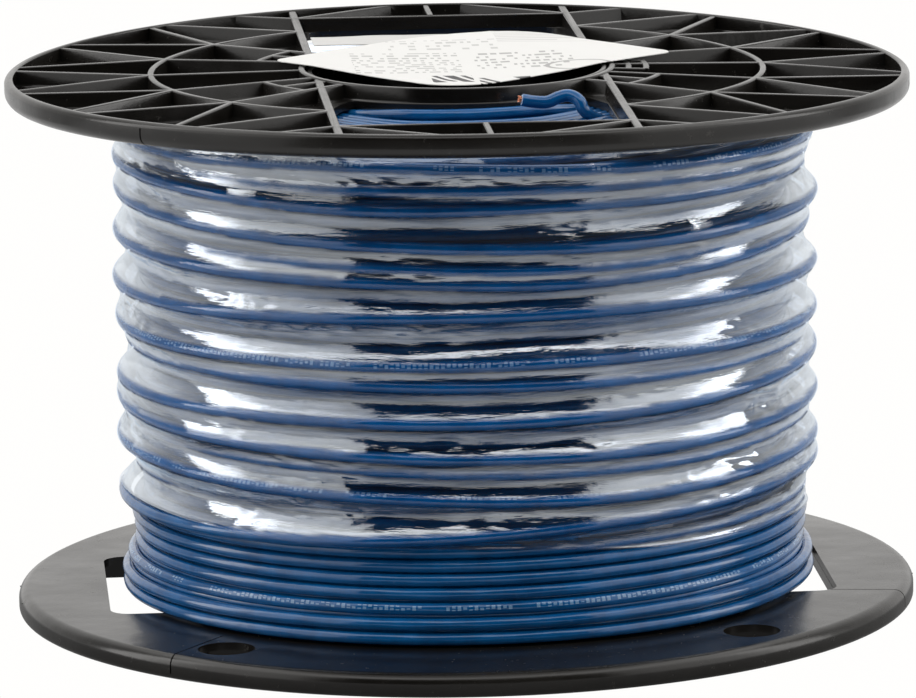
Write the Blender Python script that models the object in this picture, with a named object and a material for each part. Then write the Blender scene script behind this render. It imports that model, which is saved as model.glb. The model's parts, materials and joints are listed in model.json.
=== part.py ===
"""Wire spool: two ribbed flanges on a stepped barrel tube, wound with stranded insulated wire.

The frame has +Z along the spool's axis, and its origin is on that axis in the plane it rests on.
The start of the wire comes up through the upper flange's front window as a short free tail.
"""

import math

import bmesh
import bpy
from mathutils import Matrix, Vector

MM = 0.001

# Driving dimensions, in millimetres.
FLANGE_R = 87.6
SPOOL_H = 105.4
WIRE_D = 2.4
GAP = 0.3

# Flange: its own frame has z = 0 at the inner face, ribs towards +z and its windows on +-y.
FLANGE_T = 4.6
FLOOR_T = 1.5
LIP_W = 1.7
HUB_RING_R = 30.7
BORE_R = 28.0
SPIGOT_WALL = 1.1
RIB_TOP = 4.4
RIB_W = 1.25
RIB_SINK = 0.4
LONG_RIB_W = 1.6
LONG_RIB_X = 27.6
LONG_RIB_START_Y = 13.2
MID_RING_R = 59.3
INNER_RING_R = 40.4
CELL_RADII = (33.3, 36.7)
CELL_ANGLES = (-11, 7)
SPOKE_ANGLES = (-40, -20, 0, 20, 40)
FAN_HALF_DEG = 8.65
CORNER_RIB_DEG = 51.35
CHORD_Y = 71.1
CHORD_RIB_LEANS = (4.7, 27.1)
HUB_END_R = HUB_RING_R - 0.6
RIM_END_R = FLANGE_R - 0.9
WINDOW_X = 26.3
WINDOW_CORNER_R = 4.0
WINDOW_WEB = ((26.3, 33.0), (23.8, 26.0))
WINDOW_FOOT_R = HUB_RING_R + 0.5
WINDOW_FOOT_ANGLES = (83, 71, 59, 47)
HOLE_R = 5.4
HOLE_PITCH_R = 77.3
HOLE_ANGLES = (40, 140, 220, 320)
SLIT_ANGLES = (108.5, 223.5, 348.0)
SLIT_W = 0.6
SLIT_INNER_R = 69.3
SLIT_SLANT = 2.5
SLIT_CAP = 1.1
EDGE_ROUND = 1.2
EDGE_CUT = 0.35
HUB_CHAMFER = 0.4
CUT_SPARE = 1.0
RIM_SEGMENTS = 60

# Winding
OUTER_TURN_R = 67.1
OUTER_PITCH = 11.1
CLOSE_TURN_R = 65.5
CLOSE_PITCH = 2.93
CLOSE_TURNS = 6.8
WIRE_SIDES = 5
TURN_SEGMENTS = 32
END_PITCH = 3.1
END_SEGMENTS = 24
FILM_R = 68.9
FILM_T = 0.3
FILM_BOTTOM = 23.0

# Labels on the upper flange
LABEL_SIZE = (60.5, 51.0)
LABEL_CENTRE = (4.1, 12.8)
LABEL_TURN = 41
LABEL_SAG = 2.0
PAPER_T = 0.2

# Free start of the wire: 19 strands in an inner insulation and a thin outer jacket.
TAIL_ROOT = (21.9, -37.8, SPOOL_H - 3.3)
TAIL_PATH = (
    (0.0, 0.0, 0.0),
    (-0.5, 0.3, 1.2),
    (-1.5, 1.0, 2.1),
    (-2.9, 1.5, 2.45),
    (-4.6, 1.4, 2.1),
    (-6.6, 1.0, 1.4),
    (-8.9, 0.7, 1.5),
    (-11.6, 0.4, 2.0),
)
JACKET_WALL = 0.11
TAIL_GAP = 0.06
BORE_TAIL_R = 0.77
STRAND_R = 0.14
STRAND_PITCH = 0.297
STRAND_LENGTH = 5.0
STRAND_PROUD = 0.5
STRAND_STEPS = 4
STRAND_SIDES = 5
NOSE = 0.6
TAIL_STEPS = 10
TAIL_SIDES = 10


def clear_scene():
    for old in list(bpy.data.objects):
        bpy.data.objects.remove(old, do_unlink=True)


def material(name, color, roughness, metallic=0.0, alpha=1.0):
    made = bpy.data.materials.new(name)
    made.use_nodes = True
    shader = made.node_tree.nodes["Principled BSDF"]
    shader.inputs["Base Color"].default_value = (*color, 1.0)
    shader.inputs["Roughness"].default_value = roughness
    shader.inputs["Metallic"].default_value = metallic
    shader.inputs["Alpha"].default_value = alpha
    return made


def add_object(name, shape, finish=None, smooth_deg=35):
    """Turns a bmesh that is in millimetres into an object in metres."""
    bmesh.ops.scale(shape, vec=(MM, MM, MM), verts=shape.verts)
    mesh = bpy.data.meshes.new(name)
    shape.to_mesh(mesh)
    shape.free()
    mesh.shade_smooth()
    mesh.set_sharp_from_angle(angle=math.radians(smooth_deg))
    if finish:
        mesh.materials.append(finish)
    made = bpy.data.objects.new(name, mesh)
    bpy.context.scene.collection.objects.link(made)
    return made


def add_helpers(name, shapes):
    """A collection of solids that only serve a Boolean."""
    group = bpy.data.collections.new(name)
    bpy.context.scene.collection.children.link(group)
    for shape in shapes:
        made = add_object(name, shape)
        made.hide_render = True
        made.display_type = "WIRE"
        bpy.context.scene.collection.objects.unlink(made)
        group.objects.link(made)
    return group


def add_boolean(target, group, operation):
    step = target.modifiers.new(group.name, "BOOLEAN")
    step.operation = operation
    step.solver = "MANIFOLD"
    step.operand_type = "COLLECTION"
    step.collection = group


def polar(radius, degrees):
    angle = math.radians(degrees)
    return Vector((radius * math.cos(angle), radius * math.sin(angle)))


def ring_faces(shape, rings, closed=False):
    """Joins rings of vertices into quads; each ring runs the same way round."""
    count = len(rings)
    for i in range(count if closed else count - 1):
        low = rings[i]
        high = rings[(i + 1) % count]
        for k in range(len(low)):
            after = (k + 1) % len(low)
            shape.faces.new((low[k], low[after], high[after], high[k]))


def lathe(profile, segments):
    """A ring turned about z from a closed (r, z) profile that runs counter-clockwise."""
    shape = bmesh.new()
    rings = []
    for radius, height in profile:
        corners = [polar(radius, 360 * k / segments) for k in range(segments)]
        rings.append([shape.verts.new((c.x, c.y, height)) for c in corners])
    ring_faces(shape, rings, closed=True)
    return shape


def prism(outline, bottom, top):
    """An upright prism on a counter-clockwise outline of (x, y) points."""
    shape = bmesh.new()
    low = [shape.verts.new((p[0], p[1], bottom)) for p in outline]
    high = [shape.verts.new((p[0], p[1], top)) for p in outline]
    ring_faces(shape, [low, high])
    shape.faces.new(reversed(low))
    shape.faces.new(high)
    return shape


def rib(start, end, width=RIB_W):
    """A straight rib on the flange's floor between two (x, y) points."""
    along = (end - start).normalized()
    side = Vector((-along.y, along.x)) * width / 2
    outline = [start - side, end - side, end + side, start + side]
    return prism(outline, FLOOR_T - RIB_SINK, RIB_TOP)


def arc_rib(radius, first, last, step_deg=8):
    """A curved rib on the flange's floor, between two angles in degrees."""
    steps = max(2, round(abs(last - first) / step_deg))
    angles = [first + (last - first) * k / steps for k in range(steps + 1)]
    outer = [polar(radius + RIB_W / 2, a) for a in angles]
    inner = [polar(radius - RIB_W / 2, a) for a in reversed(angles)]
    return prism(outer + inner, FLOOR_T - RIB_SINK, RIB_TOP)


def fan_ribs(side):
    """The spokes, ring nodes and rim fans on one side of the flange; side is 0 or 180 degrees."""
    ring_end = math.degrees(math.acos(LONG_RIB_X / MID_RING_R))
    ribs = [arc_rib(MID_RING_R, side - ring_end, side + ring_end)]
    for angle in SPOKE_ANGLES:
        node = polar(MID_RING_R, side + angle)
        ribs.append(rib(polar(HUB_END_R, side + angle), node))
        for turn in (-1, 1):
            ribs.append(rib(node, polar(RIM_END_R, side + angle + FAN_HALF_DEG * turn)))
    for turn in (-1, 1):
        corner = polar(MID_RING_R, side + turn * ring_end)
        near, far = (side + turn * angle for angle in SPOKE_ANGLES[3:])
        half_way = (near + far) / 2
        ribs.append(rib(corner, polar(RIM_END_R, side + turn * CORNER_RIB_DEG)))
        ribs.append(rib(polar(HUB_END_R, half_way), polar(INNER_RING_R, half_way)))
        ribs.append(arc_rib(INNER_RING_R, min(near, far), max(near, far)))
    return ribs


def window_frame_ribs(up):
    """The ribs between the long ribs, beyond one window; up is 1 or -1."""
    corners = [Vector((turn * LONG_RIB_X, up * CHORD_Y)) for turn in (-1, 1)]
    ribs = [rib(corners[0], corners[1])]
    ribs.append(rib(Vector((0, up * CHORD_Y)), polar(RIM_END_R, up * 90)))
    for turn, corner in zip((-1, 1), corners):
        for lean in CHORD_RIB_LEANS:
            ribs.append(rib(corner, polar(RIM_END_R, up * (90 - turn * lean))))
    return ribs


def latch_cell_ribs():
    """The small boxed cells beside the hub ring."""
    ribs = [arc_rib(radius, *CELL_ANGLES, 6) for radius in CELL_RADII]
    ribs += [rib(polar(HUB_END_R, angle), polar(CELL_RADII[1], angle)) for angle in CELL_ANGLES]
    return ribs


def flange_ribs():
    rim_y = math.sqrt(RIM_END_R**2 - LONG_RIB_X**2)
    ribs = fan_ribs(0) + fan_ribs(180) + latch_cell_ribs()
    for up in (-1, 1):
        ribs += window_frame_ribs(up)
        for turn in (-1, 1):
            x = turn * LONG_RIB_X
            ends = Vector((x, up * LONG_RIB_START_Y)), Vector((x, up * rim_y))
            ribs.append(rib(*ends, LONG_RIB_W))
    return ribs


def window_outline():
    """One window on +y: straight sides, rounded outer corners and an inner edge along the hub ring."""
    outer_y = CHORD_Y - RIB_W / 2
    corner = Vector((WINDOW_X - WINDOW_CORNER_R, outer_y - WINDOW_CORNER_R))
    right = [tuple(polar(WINDOW_FOOT_R, angle)) for angle in WINDOW_FOOT_ANGLES]
    right += reversed(WINDOW_WEB)
    right += [tuple(corner + polar(WINDOW_CORNER_R, angle)) for angle in (0, 45, 90)]
    return [Vector(p) for p in right + [(-x, y) for x, y in reversed(right)]]


def flange_cutters():
    """Windows, drive holes and the slits that catch the wire's outer end."""
    window = window_outline()
    window_top = FLOOR_T + 0.2
    cutters = [prism(window, -CUT_SPARE, window_top)]
    cutters.append(prism([-p for p in window], -CUT_SPARE, window_top))
    for angle in HOLE_ANGLES:
        centre = polar(HOLE_PITCH_R, angle)
        outline = [centre + polar(HOLE_R, 360 * k / 16) for k in range(16)]
        cutters.append(prism(outline, -CUT_SPARE, FLANGE_T + CUT_SPARE))
    for angle in SLIT_ANGLES:
        start = polar(SLIT_INNER_R, angle + SLIT_SLANT)
        end = polar(FLANGE_R + CUT_SPARE, angle)
        side = Vector((start.y - end.y, end.x - start.x)).normalized() * SLIT_W / 2
        outline = [start - side, end - side, end + side, start + side]
        cutters.append(prism(outline, -CUT_SPARE, FLANGE_T - SLIT_CAP))
    return cutters


def flange_profile():
    """Closed (r, z) outline: inner face, rounded rim, lip, floor and hub ring."""
    hub_inner = BORE_R + SPIGOT_WALL + GAP
    lip_r = FLANGE_R - LIP_W
    return [
        (hub_inner, 0.0),
        (FLANGE_R - EDGE_ROUND, 0.0),
        (FLANGE_R - EDGE_CUT, EDGE_CUT),
        (FLANGE_R, EDGE_ROUND),
        (FLANGE_R, FLANGE_T - EDGE_ROUND),
        (FLANGE_R - EDGE_CUT, FLANGE_T - EDGE_CUT),
        (FLANGE_R - EDGE_ROUND, FLANGE_T),
        (lip_r, FLANGE_T),
        (lip_r, FLOOR_T),
        (HUB_RING_R, FLOOR_T),
        (HUB_RING_R, FLANGE_T),
        (hub_inner + HUB_CHAMFER, FLANGE_T),
        (hub_inner, FLANGE_T - HUB_CHAMFER),
    ]


def flange_mesh(finish):
    """One flange's mesh, fused from its disc and ribs and then pierced."""
    blank = add_object("flange_blank", lathe(flange_profile(), RIM_SEGMENTS), finish)
    ribs = add_helpers("flange_ribs", flange_ribs())
    cutters = add_helpers("flange_cutters", flange_cutters())
    add_boolean(blank, ribs, "UNION")
    add_boolean(blank, cutters, "DIFFERENCE")
    graph = bpy.context.evaluated_depsgraph_get()
    mesh = bpy.data.meshes.new_from_object(blank.evaluated_get(graph))
    mesh.set_sharp_from_angle(angle=math.radians(35))
    for old in [blank, *ribs.objects, *cutters.objects]:
        bpy.data.objects.remove(old, do_unlink=True)
    for group in (ribs, cutters):
        bpy.data.collections.remove(group)
    return mesh


def make_flanges(finish):
    """The same moulding twice; the lower one is turned over and its windows face +-x."""
    mesh = flange_mesh(finish)
    over = Matrix.Rotation(math.radians(90), 4, "Z") @ Matrix.Rotation(math.pi, 4, "X")
    places = {
        "upper_flange": Matrix.Translation((0, 0, (SPOOL_H - FLANGE_T) * MM)),
        "lower_flange": Matrix.Translation((0, 0, FLANGE_T * MM)) @ over,
    }
    for name, place in places.items():
        flange = bpy.data.objects.new(name, mesh)
        bpy.context.scene.collection.objects.link(flange)
        flange.matrix_world = place


def make_barrel(finish):
    """A tube whose thicker middle spaces the flanges; its spigots stand in their hub rings."""
    spigot_r = BORE_R + SPIGOT_WALL
    low = FLANGE_T + GAP
    high = SPOOL_H - low
    end = 0.5
    profile = [
        (BORE_R, end),
        (spigot_r, end),
        (spigot_r, low),
        (HUB_RING_R, low),
        (HUB_RING_R, high),
        (spigot_r, high),
        (spigot_r, SPOOL_H - end),
        (BORE_R, SPOOL_H - end),
    ]
    return add_object("barrel_tube", lathe(profile, 48), finish)


def sweep(points, radius, sides):
    """A capped round wire through points that turn about z."""
    shape = bmesh.new()
    rings = []
    for i, point in enumerate(points):
        along = points[min(i + 1, len(points) - 1)] - points[max(i - 1, 0)]
        outward = Vector((point.x, point.y, 0)).normalized()
        upward = along.cross(outward).normalized()
        outward = upward.cross(along).normalized()
        ring = []
        for k in range(sides):
            turn = 2 * math.pi * k / sides
            offset = outward * math.cos(turn) + upward * math.sin(turn)
            ring.append(shape.verts.new(point + offset * radius))
        rings.append(ring)
    ring_faces(shape, rings)
    shape.faces.new(reversed(rings[0]))
    shape.faces.new(rings[-1])
    bmesh.ops.recalc_face_normals(shape, faces=shape.faces)
    return shape


def coil_points(radius_at, height_at, turns, segments, start_deg):
    """Points of a coil whose radius and height are functions of the turn number."""
    steps = round(turns * segments)
    points = []
    for k in range(steps + 1):
        turn = k / segments
        flat = polar(radius_at(turn), start_deg + 360 * turn)
        points.append(Vector((flat.x, flat.y, height_at(turn))))
    return points


def make_winding(finish):
    """The packed inner turns as one ring, with the turns that show as real wires round it."""
    top_turn_z = SPOOL_H - FLANGE_T - GAP - WIRE_D / 2
    low = FLANGE_T + GAP
    step_z = low + WIRE_D + CLOSE_TURNS * CLOSE_PITCH + 0.2
    core_top = top_turn_z - WIRE_D / 2 - GAP
    packed_low_r = CLOSE_TURN_R - WIRE_D / 2 - 0.5
    packed_high_r = OUTER_TURN_R - WIRE_D / 2 - 0.6
    inner_r = HUB_RING_R + GAP
    profile = [
        (inner_r, low),
        (packed_low_r, low),
        (packed_low_r, step_z),
        (packed_high_r, step_z),
        (packed_high_r, core_top),
        (inner_r, core_top),
    ]
    add_object("winding_packed_turns", lathe(profile, 48), finish)

    first_z = low + WIRE_D / 2 + 0.1
    close = coil_points(
        lambda turn: CLOSE_TURN_R,
        lambda turn: first_z + CLOSE_PITCH * turn,
        CLOSE_TURNS,
        TURN_SEGMENTS,
        120,
    )
    add_object("winding_close_turns", sweep(close, WIRE_D / 2, WIRE_SIDES), finish)

    outer_low = step_z + WIRE_D
    outer_turns = (top_turn_z - outer_low) / OUTER_PITCH
    outer = coil_points(
        lambda turn: OUTER_TURN_R,
        lambda turn: outer_low + OUTER_PITCH * turn,
        outer_turns,
        TURN_SEGMENTS,
        60,
    )
    add_object("winding_outer_turns", sweep(outer, WIRE_D / 2, WIRE_SIDES), finish)

    first_r = inner_r + WIRE_D / 2 + 0.2
    last_r = packed_high_r - WIRE_D / 2
    ends = coil_points(
        lambda turn: first_r + END_PITCH * turn,
        lambda turn: top_turn_z,
        (last_r - first_r) / END_PITCH,
        END_SEGMENTS,
        0,
    )
    add_object("winding_end_turns", sweep(ends, WIRE_D / 2, 4), finish)


def make_film(finish):
    low = FILM_BOTTOM
    high = SPOOL_H - FLANGE_T - GAP
    profile = [(FILM_R, low), (FILM_R + FILM_T, low), (FILM_R + FILM_T, high), (FILM_R, high)]
    return add_object("film_wrap", lathe(profile, 48), finish)


def sheet(size, steps, place):
    """A thin closed sheet; place(u, v) gives the underside's point, with u and v in millimetres."""
    shape = bmesh.new()
    grids = []
    for lift in (0, PAPER_T):
        rows = []
        for i in range(steps + 1):
            u = size[0] * (i / steps - 0.5)
            cells = [place(u, size[1] * (j / steps - 0.5)) for j in range(steps + 1)]
            rows.append([shape.verts.new(cell + Vector((0, 0, lift))) for cell in cells])
        grids.append(rows)
    low, high = grids
    for i in range(steps):
        for j in range(steps):
            shape.faces.new((low[i][j], low[i][j + 1], low[i + 1][j + 1], low[i + 1][j]))
            shape.faces.new((high[i][j], high[i + 1][j], high[i + 1][j + 1], high[i][j + 1]))
    for k in range(steps):
        shape.faces.new((low[k][0], low[k + 1][0], high[k + 1][0], high[k][0]))
        shape.faces.new((low[k + 1][-1], low[k][-1], high[k][-1], high[k + 1][-1]))
        shape.faces.new((low[0][k + 1], low[0][k], high[0][k], high[0][k + 1]))
        shape.faces.new((low[-1][k], low[-1][k + 1], high[-1][k + 1], high[-1][k]))
    return shape


def label_point(u, v):
    """The label lies on the hub ring and the ribs, and sags a little into the bore."""
    turned = Matrix.Rotation(math.radians(LABEL_TURN), 2) @ Vector((u, v))
    x, y = LABEL_CENTRE[0] + turned.x, LABEL_CENTRE[1] + turned.y
    inside = max(0.0, 1 - (math.hypot(x, y) / BORE_R) ** 2)
    height = SPOOL_H + 0.9 - LABEL_SAG * inside**2
    return Vector((x, y, height))


def backing_point(u, v):
    """The second sheet droops from the hub ring into the window behind it."""
    x, y = u - 8.0, v + 36.0
    beyond = max(0.0, y - HUB_RING_R)
    return Vector((x, y, SPOOL_H + 0.3 - 0.12 * beyond))


def make_labels(finish):
    add_object("label", sheet(LABEL_SIZE, 8, label_point), finish)
    add_object("label_backing", sheet((36.0, 15.0), 4, backing_point), finish)


def tail_curve():
    """Dense points of the smooth curve through TAIL_PATH, from the tail's root."""
    marks = [Vector(mark) for mark in TAIL_PATH]
    marks = [2 * marks[0] - marks[1], *marks, 2 * marks[-1] - marks[-2]]
    points = []
    for a, b, c, d in zip(marks, marks[1:], marks[2:], marks[3:]):
        for k in range(8):
            t = k / 8
            bend = (2 * a - 5 * b + 4 * c - d) * t + (3 * b - a - 3 * c + d) * t * t
            points.append(b + ((c - a) + bend) * t / 2)
    points.append(marks[-2])
    return points


def tail_frame(curve, distance):
    """Point, side and upward directions on the tail at a distance from its root."""
    left = distance
    for a, b in zip(curve, curve[1:]):
        span = (b - a).length
        if left <= span:
            break
        left -= span
    along = (b - a).normalized()
    side = Vector((0, 1, 0)).cross(along).normalized()
    return a + along * left, side, along.cross(side)


def tail_solid(curve, stations, sides, closed=False):
    """A turned shape bent along the tail: stations are (distance, radius) pairs."""
    shape = bmesh.new()
    rings = []
    for distance, radius in stations:
        point, side, up = tail_frame(curve, distance)
        turns = [2 * math.pi * k / sides for k in range(sides)]
        ring = [point + (side * math.cos(t) + up * math.sin(t)) * radius for t in turns]
        rings.append([shape.verts.new(corner) for corner in ring])
    ring_faces(shape, rings, closed)
    if not closed:
        shape.faces.new(reversed(rings[0]))
        shape.faces.new(rings[-1])
    bmesh.ops.recalc_face_normals(shape, faces=shape.faces)
    return shape


def stretch(first, last, steps, radius):
    return [(first + (last - first) * k / steps, radius) for k in range(steps + 1)]


def strand_solid(curve, length, offset):
    """One copper strand that stands a little proud of the cut end; offset is across the wire."""
    shape = bmesh.new()
    rings = []
    for k in range(STRAND_STEPS + 1):
        back = STRAND_LENGTH * (1 - k / STRAND_STEPS)
        point, side, up = tail_frame(curve, length - back)
        if k == STRAND_STEPS:
            point = point + up.cross(side).normalized() * STRAND_PROUD
        centre = point + side * offset.x + up * offset.y
        turns = [2 * math.pi * n / STRAND_SIDES for n in range(STRAND_SIDES)]
        ring = [centre + (side * math.cos(t) + up * math.sin(t)) * STRAND_R for t in turns]
        rings.append([shape.verts.new(corner) for corner in ring])
    ring_faces(shape, rings)
    shape.faces.new(reversed(rings[0]))
    shape.faces.new(rings[-1])
    bmesh.ops.recalc_face_normals(shape, faces=shape.faces)
    return shape


def strand_places():
    """A strand in the middle, six round it and twelve outside those, as (rank, degrees)."""
    places = [(0, 0)]
    places += [(1, 60 * k) for k in range(6)]
    places += [(math.sqrt(3) if k % 2 else 2, 30 * k) for k in range(12)]
    return places


def make_tail(jacket_finish, insulation_finish, copper):
    """The free start of the wire; every piece hangs on an empty at the place where it bends."""
    root = bpy.data.objects.new("tail_bend_axis", None)
    root.location = Vector(TAIL_ROOT) * MM
    bpy.context.scene.collection.objects.link(root)
    curve = tail_curve()
    length = sum((b - a).length for a, b in zip(curve, curve[1:])) - 0.01
    jacket_r = WIRE_D / 2
    core_r = jacket_r - JACKET_WALL - TAIL_GAP
    bore_end = length - STRAND_LENGTH - GAP

    outside = stretch(NOSE, length, TAIL_STEPS, jacket_r)
    inside = stretch(length, NOSE, TAIL_STEPS, jacket_r - JACKET_WALL)
    jacket = tail_solid(curve, outside + inside, TAIL_SIDES, closed=True)
    pieces = [add_object("tail_jacket", jacket, jacket_finish)]

    stations = [(0.0, 0.5 * core_r), (0.4 * NOSE, 0.85 * core_r)]
    stations += stretch(NOSE, length, TAIL_STEPS, core_r)
    stations += stretch(length, bore_end, 4, BORE_TAIL_R)
    insulation = tail_solid(curve, stations, TAIL_SIDES)
    pieces.append(add_object("tail_insulation", insulation, insulation_finish))

    for number, (rank, angle) in enumerate(strand_places(), start=1):
        strand = strand_solid(curve, length, polar(rank * STRAND_PITCH, angle))
        pieces.append(add_object(f"copper_strand_{number:02d}", strand, copper))
    for piece in pieces:
        piece.parent = root


def main():
    clear_scene()
    plastic = material("black_plastic", (0.012, 0.012, 0.013), 0.28)
    nylon = material("blue_nylon", (0.015, 0.07, 0.22), 0.25)
    inner = material("blue_insulation", (0.02, 0.09, 0.26), 0.5)
    copper = material("copper", (0.6, 0.25, 0.12), 0.35, metallic=1.0)
    film = material("clear_film", (0.9, 0.93, 0.96), 0.08, alpha=0.3)
    paper = material("white_paper", (0.85, 0.85, 0.83), 0.7)
    make_flanges(plastic)
    make_barrel(plastic)
    make_winding(nylon)
    make_film(film)
    make_labels(paper)
    make_tail(nylon, inner, copper)


main()
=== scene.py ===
"""Looks of the wire spool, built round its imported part.

Lengths are in millimetres until a mesh is made, and angles are in degrees from +x, as seen from above.
The wire is drawn turn by turn, and the clear film is a membrane that is drawn tight over the turns.
"""

import json
import math

import bmesh
import bpy
import numpy as np
from mathutils import Matrix, Vector, noise

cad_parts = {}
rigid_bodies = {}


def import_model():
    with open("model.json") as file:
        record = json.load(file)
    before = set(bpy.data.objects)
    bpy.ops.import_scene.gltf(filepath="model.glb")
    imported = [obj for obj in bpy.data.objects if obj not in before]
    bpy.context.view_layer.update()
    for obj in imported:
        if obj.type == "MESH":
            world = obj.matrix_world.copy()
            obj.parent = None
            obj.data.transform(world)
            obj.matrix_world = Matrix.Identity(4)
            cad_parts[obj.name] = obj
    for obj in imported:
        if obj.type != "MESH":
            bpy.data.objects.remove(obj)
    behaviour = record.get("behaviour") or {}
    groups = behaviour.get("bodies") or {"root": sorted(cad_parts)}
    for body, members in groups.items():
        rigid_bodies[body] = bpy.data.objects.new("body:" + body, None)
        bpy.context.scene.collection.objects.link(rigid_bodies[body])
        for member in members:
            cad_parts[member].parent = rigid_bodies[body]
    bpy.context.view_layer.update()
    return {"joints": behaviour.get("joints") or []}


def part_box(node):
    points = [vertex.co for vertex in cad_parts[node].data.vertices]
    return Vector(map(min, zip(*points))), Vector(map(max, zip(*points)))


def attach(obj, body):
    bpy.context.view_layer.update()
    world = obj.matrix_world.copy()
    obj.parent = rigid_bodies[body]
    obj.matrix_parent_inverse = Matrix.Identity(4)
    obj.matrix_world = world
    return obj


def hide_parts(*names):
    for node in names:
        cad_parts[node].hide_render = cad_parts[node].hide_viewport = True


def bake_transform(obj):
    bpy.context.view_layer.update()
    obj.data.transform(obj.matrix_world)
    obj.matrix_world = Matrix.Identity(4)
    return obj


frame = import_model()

MM = 0.001


def node_box(node):
    """Lowest and highest corners of a CAD node in millimetres."""
    low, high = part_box(node)
    return np.array(low) / MM, np.array(high) / MM


# Sizes that the frame gives
FLANGE_LOW, FLANGE_HIGH = node_box("upper_flange")
FLANGE_R = FLANGE_HIGH[0]
SPOOL_H = FLANGE_HIGH[2]
FLANGE_T = SPOOL_H - FLANGE_LOW[2]
WOUND_LOW = FLANGE_T
WOUND_HIGH = SPOOL_H - FLANGE_T
HUB_RING_R = node_box("barrel_tube")[1][0]
CLOSE_OUTER_R = node_box("winding_close_turns")[1][0]
FILM_R = node_box("film_wrap")[1][0]
LABEL_LOW, LABEL_HIGH = node_box("label")
TAIL_ROOT = Vector(frame["joints"][0]["pos_m"]) / MM

WIRE_R = 1.2
WIRE_D = 2 * WIRE_R

# Flange: its own frame has z = 0 at the inner face, ribs towards +z and its windows on +-y.
FLOOR_T = 1.5
LIP_W = 1.7
BORE_R = 28.0
SPIGOT_WALL = 1.1
GAP = 0.3
RIB_TOP = FLANGE_T - 0.2
RIB_W = 1.25
LONG_RIB_W = 1.6
LONG_RIB_X = 27.6
LONG_RIB_START_Y = 13.2
MID_RING_R = 59.3
INNER_RING_R = 40.4
CELL_RADII = (33.3, 36.7)
CELL_ANGLES = (-11, 7)
SPOKE_ANGLES = (-40, -20, 0, 20, 40)
FAN_HALF_DEG = 8.65
CORNER_RIB_DEG = 51.35
CHORD_Y = 71.1
CHORD_RIB_LEANS = (4.7, 27.1)
HUB_END_R = HUB_RING_R - 0.6
RIM_END_R = FLANGE_R - 0.9
WINDOW_X = 26.3
WINDOW_CORNER_R = 4.0
WINDOW_WEB = ((26.3, 33.0), (23.8, 26.0))
WINDOW_FOOT_R = HUB_RING_R + 0.5
WINDOW_FOOT_ANGLES = (83, 77, 71, 65, 59, 53, 47)
HOLE_R = 5.4
HOLE_PITCH_R = 77.3
HOLE_ANGLES = (40, 140, 220, 320)
SLIT_ANGLES = (108.5, 223.5, 348.0)
SLIT_W = 0.32
SLIT_INNER_R = 69.3
SLIT_SLANT = 2.5
SLIT_CAP = 1.1
CUT_SPARE = 1.0
RIM_SEGMENTS = 216
INNER_EDGE_R = 2.1
UPPER_LEAN = 0.45
UPPER_DROOP = 1.1

# Camera, on the side of the upper flange's front window
CAMERA_TURN = -4.1
CAMERA_RISE = 10.6
CAMERA_ROLL = -1.05
CAMERA_REACH = 1475.7
CAMERA_TARGET = (-0.75, 0.0, 49.4)
CAMERA_LENS = 297.3


# ---------------------------------------------------------------- meshes

def mesh_object(name, points, faces, finishes, sharp_deg=40, layers=None, second=None):
    """A smooth mesh object in metres. layers are named values for each point; second marks faces that
    take the second material."""
    mesh = bpy.data.meshes.new(name)
    mesh.from_pydata((np.asarray(points, float) * MM).tolist(), [], faces)
    for finish in finishes:
        mesh.materials.append(finish)
    for key, values in (layers or {}).items():
        layer = mesh.attributes.new(key, "FLOAT", "POINT")
        layer.data.foreach_set("value", np.asarray(values, np.float32).ravel())
    if second is not None:
        mesh.polygons.foreach_set("material_index", np.asarray(second, np.int32))
    mesh.shade_smooth()
    mesh.set_sharp_from_angle(angle=math.radians(sharp_deg))
    made = bpy.data.objects.new(name, mesh)
    bpy.context.scene.collection.objects.link(made)
    return made


def grid_faces(rows, columns, wrap_rows=False, wrap_columns=False):
    """Quads of a grid whose point (i, j) has the number i * columns + j."""
    i = np.arange(rows if wrap_rows else rows - 1)[:, None]
    j = np.arange(columns if wrap_columns else columns - 1)[None, :]
    i_next = (i + 1) % rows
    j_next = (j + 1) % columns
    corners = [i * columns + j, i * columns + j_next, i_next * columns + j_next, i_next * columns + j]
    return np.stack([c.ravel() for c in corners], axis=1).tolist()


def shape_object(name, shape, finishes, sharp_deg=40):
    """Turns a bmesh in millimetres into an object in metres."""
    points = [tuple(v.co) for v in shape.verts]
    shape.verts.index_update()
    faces = [[v.index for v in face.verts] for face in shape.faces]
    shape.free()
    return mesh_object(name, points, faces, finishes, sharp_deg)


def place_piece(piece, body, stands_for):
    """Rides a piece on its body, in the place of its CAD node, whose part it hides."""
    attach(piece, body)
    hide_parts(stands_for)


def polar(radius, degrees):
    angle = math.radians(degrees)
    return Vector((radius * math.cos(angle), radius * math.sin(angle)))


def arc(centre, radius, first, last, steps):
    """Points of an arc as (x, y) pairs."""
    angles = [first + (last - first) * k / steps for k in range(steps + 1)]
    return [tuple(Vector(centre) + polar(radius, a)) for a in angles]


def settle(x):
    """How far the upper flange sits below its true place at x: it leans and is slightly dished."""
    return UPPER_DROOP * (x / FLANGE_R) ** 2 + x * math.sin(math.radians(UPPER_LEAN))


def lathe_grid(profile, segments):
    """Points and faces of a ring turned about z from a closed (r, z) profile."""
    r, z = np.array(profile).T
    angle = np.radians(np.arange(segments) * 360 / segments)[:, None]
    points = np.stack([r * np.cos(angle), r * np.sin(angle), z + 0 * angle], axis=2)
    faces = [face[::-1] for face in grid_faces(segments, len(profile), True, True)]
    return points.reshape(-1, 3), faces


# ---------------------------------------------------------------- materials

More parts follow.
